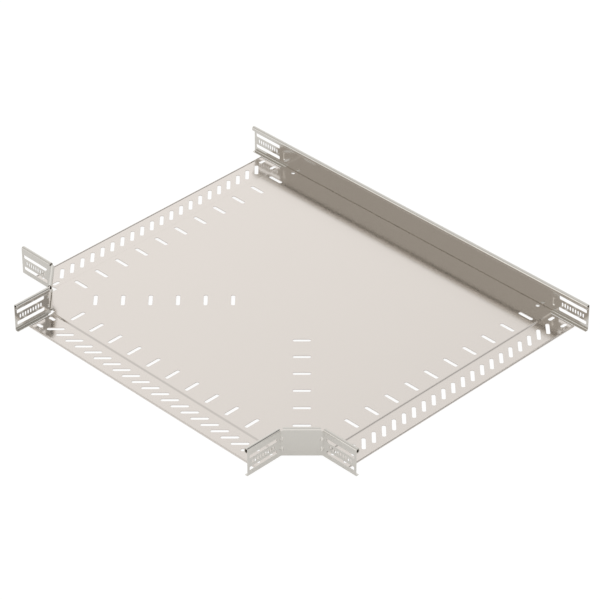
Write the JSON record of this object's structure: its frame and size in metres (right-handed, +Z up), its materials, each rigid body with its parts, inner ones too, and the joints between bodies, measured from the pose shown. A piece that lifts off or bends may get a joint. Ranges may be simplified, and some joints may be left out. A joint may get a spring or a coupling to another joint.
{
  "type": "cable tray tee",
  "caption": "Horizontal tee for a perforated sheet-metal cable tray, with a slotted floor, rolled-edge side rails, folded corner rails and slotted joint tongues.",
  "frame": {"origin": "top of the floor, where the centre lines of the run and of the branch cross", "axes": "+X along the run, -Y out of the branch, +Z up out of the tray"},
  "size_m": [0.854, 0.7258, 0.0597],
  "materials": {
    "floor_steel": "smooth mill-finished stainless sheet, low sheen",
    "rail_steel": "smooth mill-finished stainless sheet, low sheen"
  },
  "bodies": {
    "root": {"base_plate": "floor_steel", "back_rail": "rail_steel", "left_corner_rail": "rail_steel", "right_corner_rail": "rail_steel"}
  },
  "joints": []
}
